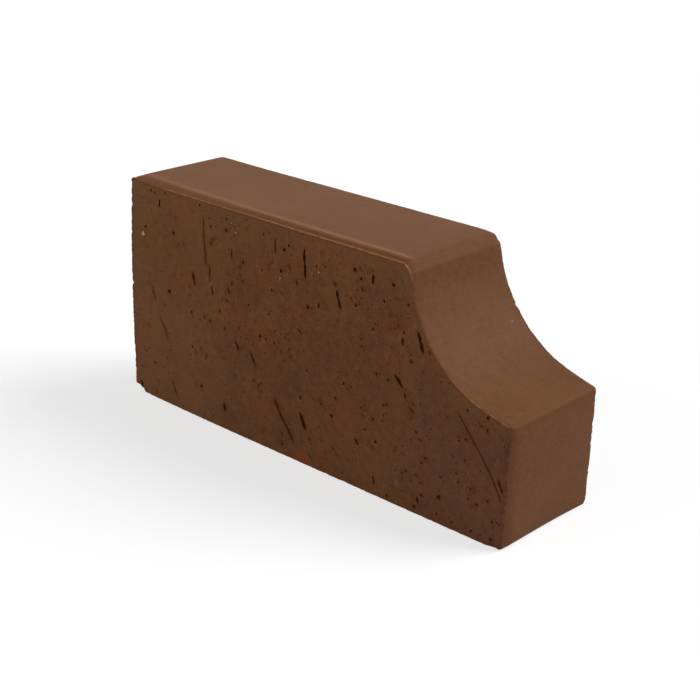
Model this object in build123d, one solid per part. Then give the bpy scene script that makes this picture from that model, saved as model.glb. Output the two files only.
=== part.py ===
from build123d import *
import os
from math import cos, radians, sin

# Shaped stove brick: solid clay, extruded, wire-cut and fired as one piece.
# It stands on one long narrow side, as in the photograph. X runs along its
# length towards the coved end, Y through its thickness from one wire-cut
# face to the other, and Z up. The origin is the middle of the underside.
# All lengths are in millimetres.

# The standard brick that the shape is cut from
brick_length = 250.0
brick_height = 120.0
brick_thickness = 65.0

# The cove is struck from the corner that is missing, and the splay runs off
# it at a tangent to the end face, at half the height of the brick
cove_radius = 58.0
splay_angle = 14.8

# The nose where the upper side turns over into the cove
nose_radius = 6.0

# The arris between the splay and the end face, and the three plain corners
# that the die forms
splay_arris_radius = 2.5
die_arris_radius = 1.5

# The arris all round each wire-cut face
cut_arris_radius = 0.8


def brick_profile():
    """Section through the brick, as the mouth of the die gives it."""
    square_end = -brick_length / 2
    coved_end = brick_length / 2
    missing_corner = Vector(coved_end, brick_height)
    cove_top = missing_corner - Vector(cove_radius, 0)
    across = Vector(sin(radians(splay_angle)), cos(radians(splay_angle)))
    cove_foot = missing_corner - across * cove_radius
    splay_end = missing_corner - Vector(0, cove_radius / cos(radians(splay_angle)))

    upper_corner = Vector(square_end, brick_height)
    lower_corner = Vector(square_end, 0)
    toe = Vector(coved_end, 0)

    with BuildSketch() as section:
        with BuildLine():
            Polyline(cove_top, upper_corner, lower_corner, toe, splay_end, cove_foot)
            CenterArc(missing_corner, cove_radius, 180, 90 - splay_angle)
        make_face()
        corner = section.vertices().sort_by_distance
        nose = corner(cove_top)[0]
        splay_arris = corner(splay_end)[0]
        die_corners = [corner(point)[0] for point in (upper_corner, lower_corner, toe)]
        fillet(nose, nose_radius)
        fillet(splay_arris, splay_arris_radius)
        fillet(die_corners, die_arris_radius)
    return section.sketch


def shaped_brick():
    """The extruded column of clay, cut to one brick by two wires."""
    column = extrude(Plane.XZ * brick_profile(), brick_thickness / 2, both=True)
    cut_faces = column.faces().filter_by(Axis.Y)
    return fillet(cut_faces.edges(), cut_arris_radius)


os.makedirs("parts", exist_ok=True)
export_step(shaped_brick(), "parts/shaped_brick.step")
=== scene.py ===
import random
from math import asin, ceil, cos, degrees, exp, hypot, pi, radians, sin, sqrt, tan

import bpy
import numpy as np
from mathutils import Matrix, Vector, kdtree, noise
from mathutils.geometry import delaunay_2d_cdt


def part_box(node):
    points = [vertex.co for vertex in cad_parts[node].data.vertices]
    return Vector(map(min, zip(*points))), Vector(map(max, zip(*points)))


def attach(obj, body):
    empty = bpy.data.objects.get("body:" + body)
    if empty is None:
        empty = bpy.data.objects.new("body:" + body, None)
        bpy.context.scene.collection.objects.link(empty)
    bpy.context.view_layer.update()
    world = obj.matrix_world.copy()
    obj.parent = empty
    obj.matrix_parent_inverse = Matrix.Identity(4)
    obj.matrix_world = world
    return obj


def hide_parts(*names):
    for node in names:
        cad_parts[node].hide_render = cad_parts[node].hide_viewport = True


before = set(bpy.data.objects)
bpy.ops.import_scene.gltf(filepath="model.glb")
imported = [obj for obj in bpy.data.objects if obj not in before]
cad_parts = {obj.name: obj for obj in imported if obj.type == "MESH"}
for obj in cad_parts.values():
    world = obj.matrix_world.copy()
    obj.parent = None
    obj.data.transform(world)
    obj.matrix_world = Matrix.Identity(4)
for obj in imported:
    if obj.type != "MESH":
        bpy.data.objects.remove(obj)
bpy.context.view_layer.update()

# The column of clay. A brick of this kind is squeezed through a steel die, so
# its long sides, its ends and its cove are one smooth skin with the die's section.
# Lengths are in millimetres until the mesh is made, and t is the distance from a cut.
MM = 0.001
brick_low, brick_high = (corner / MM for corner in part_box("shaped_brick"))
square_end = brick_low.x
coved_end = brick_high.x
brick_length = coved_end - square_end
brick_height = brick_high.z
brick_thickness = brick_high.y - brick_low.y

cove_radius = 58.0
splay_angle = 14.8
nose_radius = 6.0
splay_arris_radius = 2.5
die_arris_radius = 1.5
splay_foot = brick_height - cove_radius / cos(radians(splay_angle))
outline_step = 0.8
arc_step = 0.45
skin_set_back = 0.12


def run(start, end, side):
    """Points along a straight side of the section, without its last point."""
    gap = Vector(end) - Vector(start)
    count = max(2, round(gap.length / outline_step))
    return [(*(Vector(start) + gap * k / count), side) for k in range(count)]


def sweep(centre, radius, first, last, side):
    """Points round an arc of the section, from one angle in degrees to another."""
    step = outline_step if radius == cove_radius else arc_step
    count = max(3, round(abs(radians(last - first)) * radius / step))
    points = []
    for k in range(count):
        angle = radians(first + (last - first) * k / count)
        points.append((centre[0] + radius * cos(angle), centre[1] + radius * sin(angle), side))
    return points


def die_section():
    """The section as (x, z, side) points, anticlockwise as seen from the front."""
    r, q = die_arris_radius, splay_arris_radius
    slope = radians(splay_angle)
    corner = Vector((coved_end, brick_height))
    reach = cove_radius + nose_radius
    nose_x = coved_end - sqrt(reach ** 2 - nose_radius ** 2)
    nose_turn = degrees(asin(nose_radius / reach))
    arris_run = q * tan(radians(90 - splay_angle) / 2)
    arris_top = Vector((coved_end, splay_foot)) + Vector((-cos(slope), sin(slope))) * arris_run
    cove_foot = corner - Vector((sin(slope), cos(slope))) * cove_radius

    points = run((square_end + r, 0), (coved_end - r, 0), "underside")
    points += sweep((coved_end - r, r), r, -90, 0, "coved end")
    points += run((coved_end, r), (coved_end, splay_foot - arris_run), "coved end")
    points += sweep((coved_end - q, splay_foot - arris_run), q, 0, 90 - splay_angle, "splay")
    points += run(arris_top, cove_foot, "splay")
    points += sweep(corner, cove_radius, 270 - splay_angle, 180 + nose_turn, "cove")
    points += sweep((nose_x, brick_height - nose_radius), nose_radius, nose_turn, 90, "nose")
    points += run((nose_x, brick_height), (square_end + r, brick_height), "land")
    points += sweep((square_end + r, brick_height - r), r, 90, 180, "square end")
    points += run((square_end, brick_height - r), (square_end, r), "square end")
    points += sweep((square_end + r, r), r, 180, 270, "square end")
    return points


def smoothed(values, reach):
    """Running mean of a value that goes round the section, over reach points each way."""
    total = sum(np.roll(values, shift, axis=0) for shift in range(-reach, reach + 1))
    return total / (2 * reach + 1)


section = die_section()
sides = np.array([side for _, _, side in section])
outline = np.array([(x, z) for x, z, _ in section])
along = np.roll(outline, -1, axis=0) - np.roll(outline, 1, axis=0)
along /= np.linalg.norm(along, axis=1)[:, None]
outward = np.stack([along[:, 1], -along[:, 0]], axis=1)
# A worn corner is cut back along an eased direction, so that its rows don't cross
eased_outward = smoothed(outward, reach=8)
eased_outward /= np.linalg.norm(eased_outward, axis=1)[:, None]


side_order = ("underside", "coved end", "splay", "cove", "nose", "land", "square end")


def by_side(*sizes, reach=5):
    """Seven sizes in the order of the sides, eased over where two sides meet."""
    size_of = dict(zip(side_order, sizes))
    return smoothed(np.array([size_of[side] for side in sides]), reach)


def fading(away, reach):
    """1 at a place and falling smoothly from it, to almost 0 at twice the reach."""
    return np.exp(-(away / reach) ** 2)


# The two wire cuts. A taut wire parts each brick from the column. It drags the
# skin down along the edge that it leaves, throws up a thin burr, and crumbles
# the arris that it tears, so every side has its own roll, burr and bite.
front_roll_depth = by_side(0.5, 1.2, 0.5, 0.45, 0.6, 0.8, 0.3)
front_roll_width = by_side(3.0, 8.0, 1.5, 1.2, 4.0, 3.6, 2.0)
front_burr = by_side(0.0, 0.0, 0.22, 0.12, 0.3, 0.4, 0.1)
front_ridge = by_side(0.0, 0.0, 0.0, 0.0, 0.0, 0.4, 0.0, reach=8)
front_ragged = by_side(0.4, 1.0, 0.12, 0.1, 0.05, 0.12, 0.5, reach=3)
back_roll_depth = by_side(0.5, 0.15, 0.35, -0.45, 1.1, 0.3, 0.4)
back_roll_width = by_side(3.0, 1.5, 2.0, 7.0, 7.0, 2.5, 3.0)
back_ragged = by_side(0.3, 0.7, 0.15, 0.25, 0.15, 0.12, 0.4, reach=3)
front_chalk_and_highlight = by_side(0.1, 0.0, 0.75, 0.2, 1.0, 1.15, 0.1, reach=3)
# The band under the wire is darker, partly where the wire smeared the skin and partly painted shade
# on the roll
front_smear_and_shade = by_side(0.2, 0.03, 0.0, 0.0, 0.3, 0.9, 0.2, reach=3)
# The die skin is darker and redder all along the splay, the cove and the nose
skin_darkened = by_side(0.0, 0.0, 0.16, 0.06, 0.22, 0.0, 0.0, reach=6)
burr_width = 0.6
burr_place = 0.15
ridge_front = 1.2
ridge_back = 2.4
ridge_place = 1.2
# The wire enters at the square end. There the roll is shallow and wide, its burr is neither
# chalky nor painted with highlight but at the corner, and it tightens as the wire draws on.
wide_roll_run = 75
shallow_roll_run = 18
ridge_run = 40
foot_roll_run = 40
wire_run = outline[:, 0] - square_end
height = outline[:, 1]
on_land = np.isin(sides, ("land", "nose"))
on_cove = sides == "cove"
shallow = 0.1 + 0.9 * np.clip(wire_run / shallow_roll_run, 0, 1)
front_roll_depth *= smoothed(np.where(on_land, shallow, 1), reach=3)
front_roll_width *= smoothed(np.where(on_land, 1 + fading(wire_run, wide_roll_run), 1), reach=3)
front_ridge *= 0.7 + 1.8 * wire_run / brick_length
ridge_stand = smoothed(smoothed(np.where(on_land, front_ridge.max(), 0), reach=12), reach=12)
ridge_stand *= np.clip(0.1 + wire_run / ridge_run, 0, 1)
front_roll_depth += np.where(sides == "underside", 0.7, 0) * fading(wire_run, foot_roll_run)
# Along the cove the back edge swells out at mid height, and is rolled in above and below
swell_foot, swell_head = 66, 92
back_roll_depth[on_cove & (height > swell_head)] *= -0.5
back_roll_depth[on_cove & (height < swell_foot)] *= -0.3
back_roll_depth = smoothed(back_roll_depth, reach=10)
# The burr is chalky and carries a painted highlight from a little way in, more so at one patch and
# at the cove's foot
chalk_start, chalk_run = 7, 35
chalk_patch, chalk_patch_reach = 52, 14
chalk_foot, chalk_foot_run = 74, 8
chalky = np.clip((wire_run - chalk_start) / chalk_run, 0, 1)
front_chalk_and_highlight *= smoothed(np.where(on_land, chalky, 1), reach=3)
front_chalk_and_highlight += np.where(on_land, 0.5, 0) * fading(wire_run - chalk_patch, chalk_patch_reach)
front_chalk_and_highlight += 0.45 * np.where(on_cove, np.clip((chalk_foot - height) / chalk_foot_run, 0, 1), 0)
# It stands highest over the first stretch of the land, and at the corner itself
burr_rise, burr_rise_reach = 50, 50
corner_inset, corner_reach = 0.6, 3
front_burr += np.where(on_land, 0.25, 0) * fading(wire_run - burr_rise, burr_rise_reach)
from_corner = np.hypot(wire_run - corner_inset, height - brick_height + corner_inset)
front_burr += 1.2 * fading(from_corner, corner_reach)

# Each arris is crumbled all along, and chips are out of it: place, length and bite
crumbs_per_mm = 0.3
front_chips = [(-125, 62, 2, 1.0), (-123.5, 0, 9, 4.4), (-117, 0, 10, 1.6), (-1, 120, 2, 0.7),
               (124.5, 59.5, 5, 1.3), (125, 48, 5, 0.9), (125, 33, 4, 0.8), (125, 20, 2, 1.0),
               (125, 12, 4, 0.9), (119, 0, 6, 1.3), (-125, 38, 4, 0.3), (-125, 24, 3, 0.3),
               (30, 0, 4, 0.7)]
back_chips = [(78, 88, 3, 1.2), (125, 0, 5, 1.6), (125, 42, 3, 0.9), (125, 32, 2, 0.9),
              (-125, 96, 5, 1.4), (-60, 120, 3, 0.8), (20, 0, 6, 1.6), (-90, 0, 4, 1.1),
              (-125, 30, 4, 1.2)]


def bites(ragged, chips, seed):
    """How deep the arris is broken at each point of the section."""
    bite = np.zeros(len(outline))
    for k, (x, z) in enumerate(outline):
        crumble = noise.fractal(Vector((x, z, seed)) * crumbs_per_mm, 0.5, 2.2, 4)
        bite[k] = ragged[k] * max(0.0, 0.25 + 1.3 * crumble)
    for x, z, length, depth in chips:
        away = np.hypot(outline[:, 0] - x, height - z) / (length / 2)
        scallop = depth * np.sqrt(np.clip(1 - away ** 2, 0, 1))
        bite = np.maximum(bite, scallop)
    return bite


front_bite = bites(front_ragged, front_chips, 3.0)
back_bite = bites(back_ragged, back_chips, 11.0)

# Rows of points go round the skin, close together near the cuts
edge_rows = [0, 0.2, 0.45, 0.75, 1.1, 1.6, 2.2, 3.0, 3.9, 4.9, 6.0, 7.1, 8.1, 9.0, 9.9, 11.0, 12.5]
back_edge_rows = [0, 0.35, 0.8, 1.4, 2.2, 3.2, 4.6, 6.4, 8.6]
back_rows = [brick_thickness - t for t in reversed(back_edge_rows)]
mid_row_count = 16
mid_rows = np.linspace(edge_rows[-1], back_rows[0], mid_row_count + 2)[1:-1]
rows = np.array(edge_rows + list(mid_rows) + back_rows)


def skin_relief(x, y, z):
    """How far fired skin stands off a true surface: slow bow, and faint die lines."""
    bow = noise.noise(Vector((x * 0.018, y * 0.03, z * 0.018)))
    pull = noise.noise(Vector((x * 0.3, y * 0.02, z * 0.3 + 40)))
    return 0.07 * bow + 0.012 * pull


# The square end is fuller at the middle than at its corners, most of all where the
# wire came in. The nose slumped a little before firing, and so did the coved end's heel.
underside_set_back = 0.05
nose_slumps = [(66.2, 118.0, 1.1, 4.5), (66.5, 107, 0.5, 9.0)]
heel_reach = 3.5
head_bow, foot_bow, bow_reach = 2.1, 1.2, 12
set_back = np.where(sides == "underside", underside_set_back, skin_set_back) + ridge_stand
for x, z, depth, reach in nose_slumps:
    set_back += depth * fading(np.hypot(outline[:, 0] - x, height - z), reach)
heel_slump = np.exp(-((coved_end - outline[:, 0]) ** 2 + height ** 2) / heel_reach ** 2)
front_roll_depth *= 1 - 0.7 * heel_slump
end_bow = np.where(height > brick_height / 2, head_bow, foot_bow)
end_bow *= (2 * height / brick_height - 1) ** 2 * np.clip(
    1 - (wire_run - die_arris_radius) / bow_reach, 0, 1)
roll_softness = 0.012
burr_room = 0.6
least_sink = 0.01
end_bow_run = 8
ridge_fall = 30
calm_edge = 4


def rim_point(k, t):
    """A point of the skin: section point k at distance t from the front cut."""
    behind = brick_thickness - t
    # The roll under the wire, its burr, the ridge behind it, and a faint ripple
    u = 1 - t / front_roll_width[k]
    sink = front_roll_depth[k] * 0.5 * (u + sqrt(u * u + roll_softness))
    if sides[k] in ("coved end", "underside", "square end"):
        sink = front_roll_depth[k] * max(u, 0) ** 2
    sink -= front_burr[k] * exp(-((t - burr_place) / burr_width) ** 2)
    past_ridge = t - front_roll_width[k] - ridge_place
    ridge_width = ridge_back if past_ridge > 0 else ridge_front
    sink -= front_ridge[k] * exp(-(past_ridge / ridge_width) ** 2)
    if front_ridge[k] > 0.1 and t < front_roll_width[k]:
        sink += 0.1 * noise.noise(Vector((outline[k, 0] * 0.03, t * 1.1, 3.0))) * min(1, t / 1.5)
    # The back cut's roll, and the skin's own set-back and slow waves
    sink += back_roll_depth[k] * max(1 - behind / back_roll_width[k], 0) ** 2
    x, z = outline[k]
    y = brick_low.y + t
    edge = min(t, behind)
    sink += set_back[k] - skin_relief(x, y, z) * min(1, edge / calm_edge)
    sink -= 0.6 * ridge_stand[k] * (1 - exp(-(t / ridge_fall) ** 2))
    # Only the cove and the splay leave room for a burr within the brick's outer size
    sink = max(sink, -burr_room if sides[k] in ("cove", "splay") else least_sink)
    # The broken arrises, the slumped heel and the bowed end
    front_cut = max(0, front_bite[k] - t) / 2
    back_cut = max(0, back_bite[k] - behind) / 2
    worn = heel_slump[k] * (1 - (t / brick_thickness) ** 4) + front_cut + back_cut
    y += front_cut - back_cut
    x += end_bow[k] * (0.3 + 0.7 * exp(-(t / end_bow_run) ** 2))
    x -= outward[k, 0] * sink + eased_outward[k, 0] * worn
    z -= outward[k, 1] * sink + eased_outward[k, 1] * worn
    return x, y, z


chalk_highlight_least = 0.25
smear_shade_rise = 0.9
ridge_highlight_past = 0.8
torn_shade_reach = 0.8
splay_arris_shade_reach = 1.8


def rim_tone(k, t):
    """Above 0 for the chalky burr and painted highlights, below 0 where the wire smeared and for
    painted shade.
    """
    x, z = outline[k]
    crumbled = 0.75 + 0.9 * noise.noise(Vector((x * 0.35, 5.0, z * 0.35)))
    # Chalky crumbled burr, partly painted highlight
    burr_chalk_highlight = front_chalk_and_highlight[k] * crumbled * exp(-(t / burr_width) ** 2)
    width = front_roll_width[k]
    # Painted shade on the rolled band, partly where the wire smeared it
    smear_and_shade = front_smear_and_shade[k] * max(0, 1 - (t / width) ** 9) * min(1, t / smear_shade_rise)
    # Painted highlight on the back slope of the ridge behind the roll
    past_roll = t - width - ridge_place - ridge_highlight_past
    ridge_highlight = 0.4 * front_ridge[k] * exp(-(past_roll / ridge_back) ** 2)
    # Darker where the arris is broken: torn clay, with painted shade in the chips
    torn = 0.3 * min(1, front_bite[k]) * exp(-(t / torn_shade_reach) ** 2)
    # Painted shade along the splay's arris
    from_splay_arris = hypot(x - coved_end, z - splay_foot)
    splay_arris_shade = 0.25 * exp(-(from_splay_arris / splay_arris_shade_reach) ** 2)
    arris_tone = burr_chalk_highlight if burr_chalk_highlight > chalk_highlight_least else burr_chalk_highlight - smear_and_shade - torn
    return arris_tone + ridge_highlight - skin_darkened[k] - splay_arris_shade


rim = np.array([[rim_point(k, t) for k in range(len(outline))] for t in rows])
tones = [rim_tone(k, t) for t in rows for k in range(len(outline))]

# The wire-cut faces. The wire tears grog and air pockets out of the clay and
# drags them along its own bowed path, which leaves narrow slots and small pits
# that lean further over towards the foot of the brick.
wire_bow = 0.0034
cut_set_back = 0.3
cell_mm = 0.25
face_step = 2.0
edge_rings = (0.45, 1.1, 2.0, 3.2)
ring_room, face_room = 0.35, 0.8
face_jitter = 0.6
filler_margin = 0.3
ease_run = 0.9
edge_shade, edge_shade_run = 0.35, 1.2


def cut_relief(x, z, seed):
    """How far a wire-cut face stands off a true plane."""
    follow = x - wire_bow * (brick_height - z) ** 2
    wave = noise.noise(Vector((x * 0.02, z * 0.025, seed)))
    dents = noise.noise(Vector((x * 0.09, z * 0.07, seed + 5)))
    drag = noise.noise(Vector((follow * 0.5, z * 0.03, seed + 9)))
    return 0.1 * wave + 0.05 * dents + 0.03 * drag


# The slots of the front face that the photograph shows best, as the points of
# their paths from the lower corner of the square end, with width and depth
front_slots = [([(56.5, 111), (57, 98), (58.5, 86)], 0.5, 0.4), ([(61, 86), (61, 80)], 0.5, 0.4),
               ([(24, 113), (23, 108)], 0.8, 0.9), ([(48, 80), (50, 73)], 1.0, 1.5),
               ([(62, 76), (63, 71)], 0.8, 1.0), ([(74, 78), (76, 75)], 0.7, 0.8),
               ([(16, 64), (19, 57)], 0.6, 0.4), ([(22, 48), (25, 44), (28, 38)], 0.6, 0.4),
               ([(31, 15), (35, 6)], 0.6, 0.4), ([(77, 99), (77, 94)], 0.6, 0.5),
               ([(107, 111), (107, 104)], 0.6, 0.5), ([(126, 111), (127, 96)], 0.9, 1.6),
               ([(169, 109), (169, 104)], 0.9, 1.3), ([(161, 105.3), (162.8, 104.6)], 0.8, 1.0),
               ([(145, 99), (147, 98)], 0.7, 0.6), ([(147, 96), (148, 92), (150, 87)], 1.0, 1.5),
               ([(79.3, 51.5), (82, 47)], 0.9, 1.1), ([(90, 49), (94, 42)], 0.8, 1.0),
               ([(71, 14.5), (72, 10.5)], 1.0, 1.3),
               ([(107.5, 28.5), (113, 20), (121, 10)], 0.85, 0.9),
               ([(125, 27), (127, 23), (129, 19)], 1.2, 1.8), ([(122, 70), (126, 68)], 0.6, 0.6),
               ([(135.6, 87), (136.4, 84)], 0.8, 1.1), ([(187, 84), (188, 80)], 0.9, 1.1),
               ([(196, 89), (198, 84), (200, 80)], 1.2, 1.8),
               ([(184, 65), (187, 62), (189, 60)], 1.3, 2.0), ([(190, 58), (191, 55)], 0.6, 0.5),
               ([(193, 52), (196, 50)], 0.5, 0.4), ([(161.3, 25.6), (163.3, 22.6)], 1.0, 1.2),
               ([(173, 10), (174, 6)], 0.8, 0.9), ([(200, 9), (201, 6)], 0.8, 0.9),
               ([(221, 58), (228, 50), (235, 42), (242, 33), (247, 24)], 0.55, 0.4),
               ([(244.3, 34.5), (245.8, 31.5), (247.2, 28.7)], 0.7, 0.8),
               ([(130, 8), (134, 4)], 0.5, 0.4)]
# Its pits, by x, with the heights and sizes of those on each upright line
front_pits = {12: [(95.6, 1.3)], 14: [(98, 1.2)], 17: [(116, 1.3), (21, 0.9)], 20: [(115.5, 1.0)],
              28: [(116.5, 1.0)], 30: [(64.6, 1.6), (32, 0.9)], 34: [(97, 1.5)],
              47: [(58, 1.0), (39, 1.2)], 54: [(116, 1.1), (40, 1.1), (19, 1.2)], 57: [(58, 1.2)],
              58: [(101, 1.2), (37, 1.0)], 61: [(111, 0.9), (57, 1.1)],
              62: [(107, 1.1), (98, 1.1)], 68: [(64, 0.9)], 72: [(56, 1.2)],
              73: [(113, 1.1), (107.5, 1.3), (71, 1.0)], 77: [(81, 1.0)], 82: [(59, 1.0)],
              85: [(94, 1.3), (84, 1.0)], 89: [(73, 1.1)], 93: [(34, 1.0)], 96: [(32, 0.9)],
              97: [(58.8, 1.2)], 98: [(93, 1.0)], 101: [(58.3, 1.2)], 103: [(72, 1.0)],
              104: [(69, 1.1)], 105: [(85, 1.1)], 107: [(58, 1.1)], 111: [(96.2, 1.6), (64, 0.9)],
              113: [(107, 1.4), (6, 1.0)], 114: [(63, 0.9)], 116: [(109.8, 1.2)],
              117: [(57.4, 1.0)], 118: [(54.3, 1.0)], 125: [(35, 1.4)], 129: [(82.6, 1.5)],
              132: [(99, 0.9), (15, 1.0)], 134: [(104, 1.0)], 139: [(36, 1.0)], 142: [(109, 0.8)],
              146: [(32, 1.6)], 148: [(42, 1.1)], 153: [(51, 1.3)], 158: [(108.3, 1.7)],
              159: [(91.7, 1.4)], 163: [(100, 1.0)], 167: [(32, 1.0)], 170: [(83, 1.2)],
              172: [(39, 1.1)], 173: [(62, 1.1)], 174: [(28, 1.4)], 176: [(98, 1.2)],
              178: [(48, 1.1), (43, 1.0)], 180: [(61, 1.1)], 181: [(107, 1.4)], 182: [(3, 1.1)],
              185: [(89, 0.9)], 188: [(86.6, 1.3)], 190: [(100, 1.0)], 191: [(18, 0.9)],
              193: [(74, 1.3), (20, 1.1)], 198: [(41, 1.1)], 199: [(20, 1.0), (3.8, 1.4)],
              200: [(71, 0.9)], 201: [(38, 0.9)], 202: [(17, 0.9), (27, 1.0)], 203: [(11, 1.3)],
              204: [(30, 1.1)], 206: [(80, 1.0)], 209: [(77, 1.1)], 212: [(5, 1.0)],
              213: [(24, 1.0), (13.8, 1.6)], 221: [(4, 0.9)], 222: [(45, 0.9), (29, 1.0)],
              223: [(25, 1.0)], 226: [(61, 1.2), (47, 1.2), (37, 1.0)], 229: [(19, 1.0)],
              232: [(4, 1.3)], 234: [(56, 0.9), (18, 1.2)], 237: [(61, 1.4), (55, 1.0)],
              240: [(22, 1.0)], 243: [(13, 1.1), (4, 1.3)]}
# Pale grains of grog that the wire laid bare beside some of them
front_grog = [(10, 91.5, 2.6), (110.5, 92.2, 1.0), (135.5, 101.5, 1.0), (75.5, 110, 0.6),
              (77, 112, 0.6), (79.5, 112, 0.6), (81.5, 110.5, 0.6), (80, 108, 0.8), (187, 76, 0.7),
              (168, 87, 0.6), (203, 9, 0.7), (161, 20, 0.6)]
# Where a lump of grog crumbled, a group of little pits: place, reach and number
front_crumbs = [(158.5, 107, 3.5, 10), (159, 94, 4, 11), (184, 89, 5, 14), (190, 79, 3, 7),
                (166, 76, 4, 6), (64, 103, 4, 12), (78, 109, 3, 7), (113, 60, 5, 8),
                (234, 57, 4, 8), (224, 47, 3, 5), (232, 21, 4, 8), (167, 41, 4, 6),
                (204, 30, 3, 5), (97, 30, 4, 8), (195, 51, 4, 6), (246, 52, 1.2, 7),
                (246, 42, 1.4, 8), (245.7, 30, 1.2, 6), (245.5, 13, 1.2, 6), (134, 100, 2, 5),
                (60, 58, 4, 6), (137, 84.5, 2, 3)]


def along_path(path, share):
    """The place that is a share of the way along a path of (x, z) points."""
    reach = share * (len(path) - 1)
    k = min(int(reach), len(path) - 2)
    return Vector(path[k]).lerp(Vector(path[k + 1]), reach - k)


# A slot has a lip, a step and a floor, as shares of its width and of its depth. Along
# it the width wanders between the narrowest and the widest share.
slot_levels = ((1.0, 0.0), (0.72, 0.55), (0.3, 1.0))
station_mm = 1.6
narrowest, widest = 0.5, 1.35


def slot_rings(path, width, depth, chance):
    """A torn slot as three rings, from its lip to its floor, each of (x, z, depth)."""
    length = (Vector(path[-1]) - Vector(path[0])).length
    stations = max(4, round(length / station_mm) + 2)
    middle = [along_path(path, k / (stations - 1)) for k in range(stations)]
    wobble = [chance.uniform(narrowest, widest) for _ in range(2 * stations)]
    rings = []
    for share, sunk in slot_levels:
        left, right = [], []
        for k, centre in enumerate(middle):
            ahead = middle[min(k + 1, stations - 1)] - middle[max(k - 1, 0)]
            across = Vector((-ahead.y, ahead.x)).normalized()
            # Towards both ends the ring narrows, and the lower rings draw in
            u = 2 * k / (stations - 1) - 1
            half = width / 2 * share * (0.32 + 0.68 * sqrt(max(0, 1 - u ** 4)))
            inward = ahead.normalized() * (-u * abs(u) ** 3) * (1 - share) * width * 0.4
            left.append((*(centre + inward - across * half * wobble[k]), sunk * depth))
            right.append((*(centre + inward + across * half * wobble[-k - 1]), sunk * depth))
        rings.append(left + right[::-1])
    return rings


def pit_path(x, z, length):
    """A short path of the wire's drag, with its middle at x, z."""
    drag = Vector((2 * wire_bow * (brick_height - z), -1)).normalized() * length / 2
    return [(x - drag.x, z - drag.y), (x + drag.x, z + drag.y)]


def nearest_edge(boundary):
    """Returns a function that gives a point's distance inside the loop, and where."""
    tree = kdtree.KDTree(len(boundary))
    for k, (x, z) in enumerate(boundary):
        tree.insert((x, z, 0), k)
    tree.balance()

    def depth_inside(x, z):
        place, k, gap = tree.find((x, z, 0))
        facing = (x - place.x) * outward[k, 0] + (z - place.y) * outward[k, 1]
        return (gap if facing < 0 else -gap), k

    return depth_inside


def ground_of(path, width):
    """The small square cells of a face that a slot and a little clay round it take up."""
    steps = 2 * round((Vector(path[-1]) - Vector(path[0])).length / cell_mm) + 1
    reach = (widest * width / 2 + 0.1) / cell_mm
    near = range(-ceil(reach), ceil(reach) + 1)
    disc = [(i, j) for i in near for j in near if hypot(i, j) <= reach]
    cells = set()
    for k in range(steps + 1):
        spot = along_path(path, k / steps) / cell_mm
        cells.update((round(spot.x) + i, round(spot.y) + j) for i, j in disc)
    return cells


# A given width is the dark part of a slot, and the torn lip stands half as wide again.
# Given slots may come closer to the edge of the face than chance ones.
lip_share = 1.5
given_margin, chance_margin = 0.4, 1.0


def scatter_slots(depth_inside, given, count, chance):
    """Adds small chance pits to the given slots, clear of each other and of the edge."""
    taken = set()
    slots = []

    def try_slot(path, width, depth, margin):
        ground = ground_of(path, width)
        rings = slot_rings(path, width, depth, chance)
        if ground & taken or any(depth_inside(x, z)[0] < margin for x, z, _ in rings[0]):
            return False
        taken.update(ground)
        slots.append(rings)
        return True

    for path, width, depth in given:
        try_slot(path, lip_share * width, depth, given_margin)
    made = 0
    while made < count:
        x = chance.uniform(square_end, coved_end)
        z = chance.uniform(0, brick_height)
        width = 0.45 + 0.5 * chance.random() ** 2.4
        length = width * (1.1 + 2.2 * chance.random() ** 2)
        depth = width * chance.uniform(0.25, 0.7)
        made += try_slot(pit_path(x, z, length), width, depth, chance_margin)
    return slots


def inside(x, z, polygon):
    """Whether a point lies inside a polygon, by counting the edges to its right."""
    hit = False
    for (x1, z1), (x2, z2) in zip(polygon, polygon[1:] + polygon[:1]):
        if (z1 > z) != (z2 > z) and x < (x2 - x1) * (z - z1) / (z2 - z1) + x1:
            hit = not hit
    return hit


def slot_finder(slots):
    """Returns a function that says whether a point of the face lies inside a slot."""
    lips = [[(x, z) for x, z, _ in rings[0]] for rings in slots]
    owners = [number for number, lip in enumerate(lips) for _ in lip]
    tree = kdtree.KDTree(len(owners))
    for k, (x, z) in enumerate(point for lip in lips for point in lip):
        tree.insert((x, z, 0), k)
    tree.balance()

    def in_slot(x, z):
        near = {owners[k] for _, k, gap in tree.find_n((x, z, 0), 4) if gap < 2}
        return any(inside(x, z, lips[number]) for number in near)

    return in_slot


def filler_points(boundary, chance):
    """Loose points between the rim and the slots of a face, each with the room it needs."""
    loose = []
    for ring_in in edge_rings:
        for k in range(0, len(outline), 1 if ring_in < 1 else 2):
            x, z = boundary[k]
            x, z = x - outward[k, 0] * ring_in, z - outward[k, 1] * ring_in
            loose.append((x, z, ring_room))
    for x in np.arange(square_end + 4, coved_end - 3, face_step):
        for z in np.arange(4, brick_height - 3, face_step):
            off_x = chance.uniform(-face_jitter, face_jitter)
            off_z = chance.uniform(-face_jitter, face_jitter)
            loose.append((x + off_x, z + off_z, face_room))
    return loose


def sunk_faces(points, lip, rings, side):
    """Adds a slot's lower rings to the points, and gives its walls and its floor."""
    above, size, sunk = lip, len(lip), []
    for level in rings[1:]:
        below = list(range(len(points), len(points) + size))
        for old, (x, z, depth) in zip(lip, level):
            points.append((x, points[old][1] + side * depth, z))
        sunk += [(above[k - 1], above[k], below[k], below[k - 1]) for k in range(size)]
        above = below
    for k in range(size // 2 - 1):
        sunk.append(above[k:k + 2] + [above[size - 2 - k], above[size - 1 - k]])
    return sunk


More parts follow.
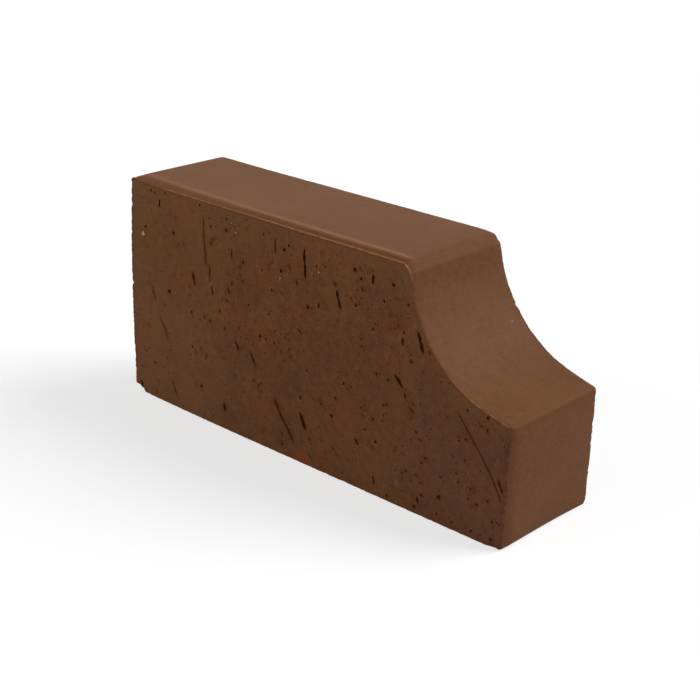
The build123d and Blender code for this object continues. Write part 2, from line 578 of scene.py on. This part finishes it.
def cut_face(loop, side, bite, given, count, seed):
    """One wire-cut face on a loop of the rim, with side 1 for the front and -1 for the back.

    Gives its points and their tones, its flat, torn and grog faces, and the loop's points."""
    chance = random.Random(seed)
    plane = brick_low.y if side > 0 else brick_high.y
    boundary = [(x, z) for x, _, z in loop]
    depth_inside = nearest_edge(boundary)
    slots = scatter_slots(depth_inside, given, count, chance)
    in_slot = slot_finder(slots)
    flat = [Vector(p) for p in boundary]
    edges = [(k, (k + 1) % len(flat)) for k in range(len(flat))]
    slot_lips = []
    for rings in slots:
        lip = list(range(len(flat), len(flat) + len(rings[0])))
        flat += [Vector((x, z)) for x, z, _ in rings[0]]
        edges += list(zip(lip, lip[1:] + lip[:1]))
        slot_lips.append(lip)
    lips = kdtree.KDTree(len(flat))
    for k, p in enumerate(flat):
        lips.insert((p.x, p.y, 0), k)
    lips.balance()

    for x, z, room in filler_points(boundary, chance):
        clear = lips.find((x, z, 0))[2] >= room and depth_inside(x, z)[0] > filler_margin
        if clear and not in_slot(x, z):
            flat.append(Vector((x, z)))

    # The face is cut into triangles that keep the rim and every lip as edges
    made, _, faces, came_from, _, _ = delaunay_2d_cdt(flat, edges, [], 1, 1e-5)
    index = {}
    for new, olds in enumerate(came_from):
        for old in olds:
            index[old] = new

    lip_tone = {}
    for slot_lip in slot_lips:
        dragged = chance.uniform(-0.7, 0.0)
        for n, old in enumerate(slot_lip):
            lifted = 0.5 if n < len(slot_lip) / 2 < 6 and dragged > -0.3 else 0
            lip_tone[index[old]] = dragged + lifted * chance.random()
    # Rim points stay where they are, and near the rim the face eases into them
    points = []
    for new, (x, z) in enumerate(made):
        gap, k = depth_inside(x, z)
        if any(old < len(boundary) for old in came_from[new]):
            points.append(tuple(loop[k]))
            continue
        ease = min(1, gap / ease_run)
        lip_tone.setdefault(new, -edge_shade * exp(-(gap / edge_shade_run) ** 2))
        y = (cut_set_back - cut_relief(x, z, seed)) * ease
        y += (loop[k][1] - plane) * side * (1 - ease)
        cut = max(0, bite[k] - gap) / 2
        y += cut * ease
        x -= outward[k, 0] * cut * ease
        z -= outward[k, 1] * cut * ease
        points.append((x, plane + side * max(y, 0.0), z))

    flat_faces, torn_faces, grog_faces = [], [], []
    for face in faces:
        middle = sum((made[k] for k in face), Vector((0, 0))) / 3
        if not in_slot(*middle):
            flat_faces.append(face)
    for slot_lip, rings in zip(slot_lips, slots):
        sunk = sunk_faces(points, [index[k] for k in slot_lip], rings, side)
        floor_depth = rings[-1][0][2]
        (torn_faces if floor_depth > 0 else grog_faces).extend(sunk)
    loop_points = [index[k] for k in range(len(boundary))]
    return points, lip_tone, (flat_faces, torn_faces, grog_faces), loop_points


chance = random.Random(21)
front_marks = [([(x + square_end, z) for x, z in path], width, depth)
               for path, width, depth in front_slots]
# A pit is a short slot whose size gives its length, width and depth. A grain of grog
# is the same with a floor that stands proud.
for x, column in front_pits.items():
    for z, size in column:
        front_marks.append((pit_path(x + square_end, z, 1.4 * size), 0.85 * size, size - 0.5))
for x, z, size in front_grog:
    front_marks.append((pit_path(x + square_end, z, size), 0.6 * size, -0.2))
for x, z, reach, count in front_crumbs:
    for _ in range(count):
        turn = chance.uniform(0, 2 * pi)
        out = reach * sqrt(chance.random())
        size = chance.uniform(0.35, 0.75)
        spot = Vector((x + square_end + out * cos(turn), z + 1.3 * out * sin(turn)))
        lean = Vector((chance.uniform(-0.7, 0.7), 1)).normalized() * size * chance.uniform(0.5, 1.3)
        front_marks.append(([spot + lean, spot - lean], size, 0.5 * size))
back_slot_count = 26
back_marks = []
for _ in range(back_slot_count):
    x = chance.uniform(square_end + 6, coved_end - 30)
    z = chance.uniform(8, brick_height - 4)
    length = 4 + 16 * chance.random() ** 2
    back_marks.append((pit_path(x, z, length), chance.uniform(0.4, 0.85), chance.uniform(0.5, 1.8)))
front_face = cut_face(rim[0], side=1, bite=front_bite, given=front_marks, count=85, seed=4)
back_face = cut_face(rim[-1], side=-1, bite=back_bite, given=back_marks, count=330, seed=17)

# The fired clay. It is a brown-burning brick clay, matt and dry to the eye, in one
# colour right through. The die leaves a close, faintly satin skin, the wire leaves
# its faces open and streaked, and a torn slot shows coarse clay, darker with painted shade.
skin_brown, skin_deep, skin_pale = "#6D482F", "#613E28", "#795339"
cut_brown, cut_deep, cut_pale = "#724A2F", "#5D3920", "#805A3C"
iron_red = "#8C4826"
core_purple = "#583A32"
# Paler brown for chalky burrs and painted highlights
pale_highlight_brown = "#7F5638"
# Chalky brown of specks and burrs, also used for painted light
chalky_and_lit_brown = "#A07A58"
# Dark brown where the wire smeared the skin, also used for painted shade
smear_and_shade_brown = "#60330A"
# Painted shade of pores and pinholes
pore_shade_brown = "#33200F"
# Torn clay, darkened with painted shade
torn_and_shaded_brown = "#5E361B"
grog_buff = "#D8B696"
grain_mm = 0.7
mottle_mm = 4.0
cloud_mm = 38.0
patch_mm = 17.0
die_line_mm = 1.3
drag_line_mm = 0.8
dot_edge = 0.04


def linear(colour):
    """An sRGB hex colour as the linear values that a shader takes."""
    parts = [int(colour[k:k + 2], 16) / 255 for k in (1, 3, 5)]
    return [p / 12.92 if p <= 0.04045 else ((p + 0.055) / 1.055) ** 2.4 for p in parts] + [1]


def add(material, kind, inputs, **settings):
    """Adds a node with its settings, and sets or links its inputs. Gives its output."""
    node = material.node_tree.nodes.new(kind)
    for name, value in settings.items():
        setattr(node, name, value)
    for name, value in inputs.items():
        if isinstance(name, int):
            socket = node.inputs[name]
        else:
            socket = next(s for s in node.inputs if s.enabled and s.name == name)
        if isinstance(value, bpy.types.NodeSocket):
            material.node_tree.links.new(value, socket)
        else:
            socket.default_value = linear(value) if isinstance(value, str) else value
    return next(s for s in node.outputs if s.enabled)


def fired_clay(name, roughness, specular):
    """A clay with no pattern yet, its shader, and the place on the brick in millimetres."""
    material = bpy.data.materials.new(name)
    material.use_nodes = True
    shader = material.node_tree.nodes["Principled BSDF"]
    shader.inputs["Roughness"].default_value = roughness
    shader.inputs["Specular IOR Level"].default_value = specular
    metres = add(material, "ShaderNodeTexCoord", {}).node.outputs["Object"]
    place = add(material, "ShaderNodeVectorMath", {0: metres, "Scale": 1 / MM}, operation="SCALE")
    return material, shader, place


def stained(material, colour, stain, pattern, low, high, amount):
    """A colour turned towards a stain by up to an amount, as a pattern goes from low to high."""
    cover = add(material, "ShaderNodeMapRange", {"Value": pattern, "From Min": low,
                                                 "From Max": high, "To Max": amount})
    return add(material, "ShaderNodeMix", {"Factor": cover, "A": colour, "B": stain},
               data_type="RGBA")


def clay_body(material, place, lines, brown, deep, pale):
    """The clay's own colour: clouds from the kiln, mottle from the mix, and drawn lines."""
    cloud = add(material, "ShaderNodeTexNoise", {"Vector": place, "Scale": 1 / cloud_mm,
                                                 "Detail": 3.0})
    mottle = add(material, "ShaderNodeTexNoise", {"Vector": place, "Scale": 1 / mottle_mm,
                                                  "Detail": 4.0, "Roughness": 0.6})
    grain = add(material, "ShaderNodeTexNoise", {"Vector": place, "Scale": 1 / grain_mm,
                                                 "Detail": 2.0})
    colour = brown
    for stain, pattern, low, high, amount in (
            (deep, cloud, 0.5, 0.32, 0.3), (deep, mottle, 0.52, 0.3, 0.6),
            (deep, grain, 0.48, 0.25, 0.7), (deep, lines, 0.5, 0.3, 0.18),
            (pale, cloud, 0.52, 0.7, 0.3), (pale, mottle, 0.53, 0.7, 0.4),
            (pale, grain, 0.52, 0.75, 0.8), (pale, lines, 0.52, 0.72, 0.15)):
        colour = stained(material, colour, stain, pattern, low, high, amount)
    return colour, grain, mottle


def dots(material, place, cell, share, least, large):
    """Round dots of many sizes in a share of the cells: above 0 inside a dot.

    A dot's radius goes up to large less least, and those below least are left out."""
    cells = add(material, "ShaderNodeTexVoronoi", {"Vector": place, "Scale": 1 / cell}).node
    luck = add(material, "ShaderNodeSeparateColor", {"Color": cells.outputs["Color"]})
    radius = add(material, "ShaderNodeMapRange", {"Value": luck, "From Min": 1 - share,
                                                  "From Max": 1, "To Max": large / cell})
    edge = add(material, "ShaderNodeMath", {0: radius, 1: least / cell}, operation="SUBTRACT")
    return add(material, "ShaderNodeMath", {0: edge, 1: cells.outputs["Distance"]},
               operation="SUBTRACT")


def arris(material, colour):
    """Turns the colour chalky on a crumbled burr, paler for painted highlights, and darker where
    the wire smeared it and for painted shade.
    """
    tone = add(material, "ShaderNodeAttribute", {}, attribute_name="arris_tone")
    tone = tone.node.outputs["Fac"]
    colour = stained(material, colour, smear_and_shade_brown, tone, 0, -1, 0.82)
    colour = stained(material, colour, pale_highlight_brown, tone, 0, 0.3, 1)
    return stained(material, colour, chalky_and_lit_brown, tone, 0.25, 1, 0.9)


def raised(material, shader, heights):
    """Bumps the surface by (height, millimetres) pairs, one over another."""
    normal = None
    for height, deep in heights:
        inputs = {"Height": height, "Distance": deep * MM, "Strength": 1.0}
        if normal:
            inputs["Normal"] = normal
        normal = add(material, "ShaderNodeBump", inputs)
    material.node_tree.links.new(normal, shader.inputs["Normal"])


# Skin from the steel die: close, faintly satin, with fine lines drawn along the column
die_skin, skin_shader, skin_place = fired_clay("fired_clay_die_skin", 0.55, 0.05)
speck_cell_mm = 9.0
pinhole_cell_mm = 7.0
die_stretch = 0.02
drawn = add(die_skin, "ShaderNodeVectorMath", {0: skin_place, 1: (1, die_stretch, 1)},
            operation="MULTIPLY")
die_lines = add(die_skin, "ShaderNodeTexNoise", {"Vector": drawn, "Scale": 1 / die_line_mm,
                                                 "Detail": 2.0})
colour, grain, mottle = clay_body(die_skin, skin_place, die_lines,
                                  skin_brown, skin_deep, skin_pale)
specks = dots(die_skin, skin_place, speck_cell_mm, share=0.16, least=0.1, large=0.7)
colour = stained(die_skin, colour, grog_buff, specks, -dot_edge, dot_edge, 0.28)
# Pinholes: painted shade in little holes of the skin
pinholes = dots(die_skin, skin_place, pinhole_cell_mm, share=0.2, least=0.1, large=0.6)
colour = stained(die_skin, colour, pore_shade_brown, pinholes, -dot_edge, dot_edge, 0.45)
die_skin.node_tree.links.new(arris(die_skin, colour), skin_shader.inputs["Base Color"])
satin = add(die_skin, "ShaderNodeMapRange", {"Value": mottle, "From Min": 0.3, "From Max": 0.7,
                                             "To Min": 0.5, "To Max": 0.62})
die_skin.node_tree.links.new(satin, skin_shader.inputs["Roughness"])
raised(die_skin, skin_shader, ((mottle, 0.07), (die_lines, 0.006), (grain, 0.04)))

# Wire-cut clay: dry and open, streaked along the wire's drag and pricked with pores, whose shade is
# painted dark.
# Its fine pores are drawn up to a millimetre wide, because smaller ones don't show.
wire_cut, cut_shader, cut_place = fired_clay("fired_clay_wire_cut", 0.85, 0.03)
pore_cell_mm = 2.2
chalk_cell_mm = 3.0
drag_stretch = 0.06
cut_x, cut_y, cut_z = add(wire_cut, "ShaderNodeSeparateXYZ", {"Vector": cut_place}).node.outputs
fall = add(wire_cut, "ShaderNodeMath", {0: brick_height, 1: cut_z}, operation="SUBTRACT")
fall = add(wire_cut, "ShaderNodeMath", {0: fall, 1: 2.0}, operation="POWER")
swerve = add(wire_cut, "ShaderNodeMath", {0: fall, 1: -wire_bow, 2: cut_x},
             operation="MULTIPLY_ADD")
along_drag = add(wire_cut, "ShaderNodeMath", {0: cut_z, 1: drag_stretch}, operation="MULTIPLY")
dragged = add(wire_cut, "ShaderNodeCombineXYZ", {"X": swerve, "Y": cut_y, "Z": along_drag})
drag_lines = add(wire_cut, "ShaderNodeTexNoise", {"Vector": dragged, "Scale": 1 / drag_line_mm,
                                                  "Detail": 3.0, "Roughness": 0.6})
colour, grain, mottle = clay_body(wire_cut, cut_place, drag_lines, cut_brown, cut_deep, cut_pale)
reds = add(wire_cut, "ShaderNodeTexNoise", {"Vector": cut_place, "Scale": 1 / patch_mm,
                                            "Detail": 4.0})
colour = stained(wire_cut, colour, iron_red, reds, 0.54, 0.75, 0.25)
colour = stained(wire_cut, colour, core_purple, reds, 0.48, 0.3, 0.3)
# The kiln left it purple towards the coved end. Painted light makes it paler round
# the cove, at the foot by the square end, towards that end and along the head
purple_run, painted_light_end_run, painted_light_head = 100, 80, 25
painted_light_foot, painted_light_foot_reach, painted_light_foot_core = (square_end + 30, 0, 15), 82, 22
colour = stained(wire_cut, colour, core_purple, cut_x, coved_end - purple_run, coved_end, 0.3)
flat_place = add(wire_cut, "ShaderNodeVectorMath", {0: cut_place, 1: (1, 0, 1)},
                 operation="MULTIPLY")
# Painted light round the cove
from_cove = add(wire_cut, "ShaderNodeVectorMath",
                {0: flat_place, 1: (coved_end, 0, brick_height)}, operation="DISTANCE")
colour = stained(wire_cut, colour, cut_pale, from_cove, cove_radius + 12, cove_radius + 2, 0.25)
# Painted light at the foot by the square end
from_foot = add(wire_cut, "ShaderNodeVectorMath", {0: flat_place, 1: painted_light_foot},
                operation="DISTANCE")
colour = stained(wire_cut, colour, chalky_and_lit_brown, from_foot, painted_light_foot_reach, painted_light_foot_core, 0.12)
# Its fire reddened the foot of the face and a bloom there. Along the edge of the square end it is
# redder from the fire, and lighter with painted light
red_foot, red_wander = (15, 8), 26.0
bloom_place, bloom_reach, bloom_core = (square_end + 127.0, 0, 0), 9, 3
red_and_lit_edge_run = 5
edge_wander = add(wire_cut, "ShaderNodeMath", {0: reds, 1: red_wander, 2: cut_z},
                  operation="MULTIPLY_ADD")
colour = stained(wire_cut, colour, iron_red, edge_wander, *red_foot, 0.7)
from_bloom = add(wire_cut, "ShaderNodeVectorMath", {0: flat_place, 1: bloom_place},
                 operation="DISTANCE")
colour = stained(wire_cut, colour, iron_red, from_bloom, bloom_reach, bloom_core, 0.75)
# Redder and lighter along the square end's edge, the lightness painted light
colour = stained(wire_cut, colour, iron_red, cut_x, square_end + red_and_lit_edge_run, square_end, 0.5)
# Painted light towards the square end and along the head
colour = stained(wire_cut, colour, cut_pale, cut_x, square_end + painted_light_end_run, square_end, 0.4)
colour = stained(wire_cut, colour, cut_pale, cut_z, brick_height - painted_light_head, brick_height, 0.35)
# Pores: painted shade, with a bump
pores = dots(wire_cut, cut_place, pore_cell_mm, share=0.7, least=0.05, large=0.62)
colour = stained(wire_cut, colour, pore_shade_brown, pores, -dot_edge, dot_edge, 0.5)
specks = dots(wire_cut, cut_place, chalk_cell_mm, share=0.85, least=0.1, large=0.5)
colour = stained(wire_cut, colour, chalky_and_lit_brown, specks, -dot_edge, dot_edge, 0.42)
wire_cut.node_tree.links.new(arris(wire_cut, colour), cut_shader.inputs["Base Color"])
open_pores = add(wire_cut, "ShaderNodeMapRange", {"Value": pores, "From Min": dot_edge,
                                                  "From Max": -dot_edge})
raised(wire_cut, cut_shader,
       ((drag_lines, 0.05), (mottle, 0.12), (grain, 0.1), (open_pores, 0.2)))

# Torn clay in the slots, coarse, its darker colour partly painted shade, and grog, which is crushed
# pale brick
torn_clay, torn_shader, torn_place = fired_clay("fired_clay_torn_shaded", 0.95, 0.02)
crumb = add(torn_clay, "ShaderNodeTexNoise", {"Vector": torn_place, "Scale": 1 / grain_mm,
                                              "Detail": 3.0})
colour = stained(torn_clay, torn_and_shaded_brown, cut_deep, crumb, 0.5, 0.7, 1.0)
torn_clay.node_tree.links.new(colour, torn_shader.inputs["Base Color"])
raised(torn_clay, torn_shader, ((crumb, 0.15),))
grog, grog_shader, grog_place = fired_clay("fired_clay_grog", 0.9, 0.05)
crumb = add(grog, "ShaderNodeTexNoise", {"Vector": grog_place, "Scale": 2 / grain_mm,
                                         "Detail": 2.0})
colour = stained(grog, grog_buff, cut_brown, crumb, 0.4, 0.7, 1.0)
grog.node_tree.links.new(colour, grog_shader.inputs["Base Color"])
raised(grog, grog_shader, ((crumb, 0.1),))

# The brick itself: one closed surface from the rim and the two cut faces, unrolled
# for the bake as two faces, two ends, the underside and the long top.
rim_count = len(rows) * len(outline)
points = [tuple(p) for row in rim for p in row]
faces, looks, sheets = [], [], []
gap_mm = 5.0
sheet_mm = 390.0
sharp_angle = 38
run_length = np.concatenate([[0], np.cumsum(np.linalg.norm(np.diff(outline, axis=0), axis=1))])
closing = run_length[-1] + outline_step
both_faces = 2 * (brick_height + gap_mm)
rim_sheets = {"underside": (0, both_faces), "square end": (brick_length + gap_mm, 0),
              "coved end": (brick_length + 2 * gap_mm + brick_thickness, 0)}
top_sheet = (0, both_faces + brick_thickness + gap_mm)
first_of = {side: k for k, side in reversed(list(enumerate(sides)))}
for r in range(len(rows) - 1):
    for k in range(len(outline)):
        n = (k + 1) % len(outline)
        here, there = r * len(outline), (r + 1) * len(outline)
        faces.append((here + k, there + k, there + n, here + n))
        looks.append(0)
        left, low = rim_sheets.get(sides[k], top_sheet)
        start = run_length[first_of[sides[k] if sides[k] in rim_sheets else "splay"]]
        u1, u2 = run_length[k] - start, (run_length[n] if n else closing) - start
        corners = ((u1, rows[r]), (u1, rows[r + 1]), (u2, rows[r + 1]), (u2, rows[r]))
        turned = sides[k] in ("square end", "coved end")
        sheets += [(left + (v if turned else u), low + (u if turned else v)) for u, v in corners]


def join_cut(cut, rim_start, turned, low):
    """Adds a cut face to the brick, on the rim's own points along its loop."""
    cut_points, lip_tone, groups, loop = cut
    place = {old: rim_start + k for k, old in enumerate(loop)}
    for look, group in enumerate(groups, 1):
        for face in group:
            for old in face:
                if old not in place:
                    place[old] = len(points)
                    points.append(cut_points[old])
                    tones.append(lip_tone.get(old, 0.0))
            corners = [place[old] for old in (reversed(face) if turned else face)]
            faces.append(corners)
            looks.append(look)
            sheets.extend((points[k][0] - square_end, low + points[k][2]) for k in corners)


join_cut(front_face, rim_start=0, turned=False, low=0)
join_cut(back_face, rim_start=rim_count - len(outline), turned=True, low=brick_height + gap_mm)

mesh = bpy.data.meshes.new("shaped_brick_fired")
mesh.from_pydata([(x * MM, y * MM, z * MM) for x, y, z in points], [], faces)
for material in (die_skin, wire_cut, torn_clay, grog):
    mesh.materials.append(material)
mesh.polygons.foreach_set("material_index", looks)
mesh.polygons.foreach_set("use_smooth", [True] * len(faces))
mesh.set_sharp_from_angle(angle=radians(sharp_angle))
tone = mesh.attributes.new("arris_tone", "FLOAT", "POINT")
tone.data.foreach_set("value", tones)
bake_map = mesh.uv_layers.new(name="OFBake")
bake_map.data.foreach_set("uv", [c / sheet_mm for corner in sheets for c in corner])
mesh.update()
brick = bpy.data.objects.new("shaped_brick_fired", mesh)
bpy.context.scene.collection.objects.link(brick)
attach(brick, "root")
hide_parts("shaped_brick")

# The table, a wide plain white board that the brick stands on, in metres. The camera
# sees it as bright as the room behind, apart from the brick's soft shadow.
board = bpy.data.meshes.new("board")
board_half = 6.0
board.from_pydata([(-board_half, -board_half, 0), (board_half, -board_half, 0),
                   (board_half, board_half, 0), (-board_half, board_half, 0)], [], [(0, 1, 2, 3)])
board_glow = 0.68
white_board = bpy.data.materials.new("white_board")
white_board.use_nodes = True


def seen_directly(material):
    """A value of 1 for the camera, and for what a mirror or a glass shows."""
    path = add(material, "ShaderNodeLightPath", {}).node.outputs
    seen = add(material, "ShaderNodeMath", {0: path["Is Camera Ray"], 1: path["Is Glossy Ray"]},
               operation="MAXIMUM")
    return add(material, "ShaderNodeMath", {0: seen, 1: path["Is Transmission Ray"]},
               operation="MAXIMUM")


board_shader = white_board.node_tree.nodes["Principled BSDF"]
board_shader.inputs["Base Color"].default_value = linear("#A6A6A6")
board_shader.inputs["Roughness"].default_value = 1.0
board_shader.inputs["Specular IOR Level"].default_value = 0.0
board_shader.inputs["Emission Color"].default_value = (1, 1, 1, 1)
glow = add(white_board, "ShaderNodeMath", {0: seen_directly(white_board), 1: board_glow},
           operation="MULTIPLY")
white_board.node_tree.links.new(glow, board_shader.inputs["Emission Strength"])
board.materials.append(white_board)
floor = bpy.data.objects.new("floor", board)
bpy.context.scene.collection.objects.link(floor)

# Soft studio light: a large lamp above, behind and to the right, a weaker one in
# front to the left, and a white room.
room_light = 0.15
world = bpy.data.worlds.new("white_room")
bpy.context.scene.world = world
world.use_nodes = True
room = world.node_tree.nodes["Background"]
room.inputs["Color"].default_value = (1, 1, 1, 1)
strength = add(world, "ShaderNodeMapRange", {"Value": seen_directly(world),
                                             "To Min": room_light})
world.node_tree.links.new(strength, room.inputs["Strength"])


def lamp(name, towards, spread, strength):
    """A far lamp behind a wide diffuser, whose light fills a cone of spread degrees."""
    data = bpy.data.lights.new(name, "SUN")
    data.angle = radians(spread)
    data.energy = strength * pi
    lamp_object = bpy.data.objects.new(name, data)
    lamp_object.rotation_euler = Vector(towards).to_track_quat("Z", "Y").to_euler()
    bpy.context.scene.collection.objects.link(lamp_object)


lamp("key_lamp", towards=(0.5, 0.57, 0.66), spread=45, strength=0.98)
lamp("fill_lamp", towards=(-0.5, -0.85, 0.15), spread=70, strength=0.6)

# The camera, at the photograph's place: a little above the brick and to the right of
# its front face, where the coved end is the nearest. Its distances are in metres.
view_azimuth = 41.8
view_elevation = 21.9
view_roll = 1.75
view_distance = 0.705
view_aim = Vector((0.0026, 0, 0.0516))
focal_pixels = 1427
picture_pixels = 700
sensor_width = 36
camera_data = bpy.data.cameras.new("camera")
camera_data.sensor_width = sensor_width
camera_data.lens = focal_pixels / picture_pixels * sensor_width
camera = bpy.data.objects.new("camera", camera_data)
azimuth, elevation, roll = (radians(a) for a in (view_azimuth, view_elevation, view_roll))
back = Vector((sin(azimuth) * cos(elevation), -cos(azimuth) * cos(elevation), sin(elevation)))
right = Vector((cos(azimuth), sin(azimuth), 0))
up = back.cross(right)
tilted_right = right * cos(roll) + up * sin(roll)
tilted_up = up * cos(roll) - right * sin(roll)
turn = Matrix((tilted_right, tilted_up, back)).transposed()
camera.matrix_world = Matrix.Translation(view_aim + back * view_distance) @ turn.to_4x4()
bpy.context.scene.collection.objects.link(camera)
bpy.context.scene.camera = camera

bpy.context.scene.view_settings.view_transform = "Standard"
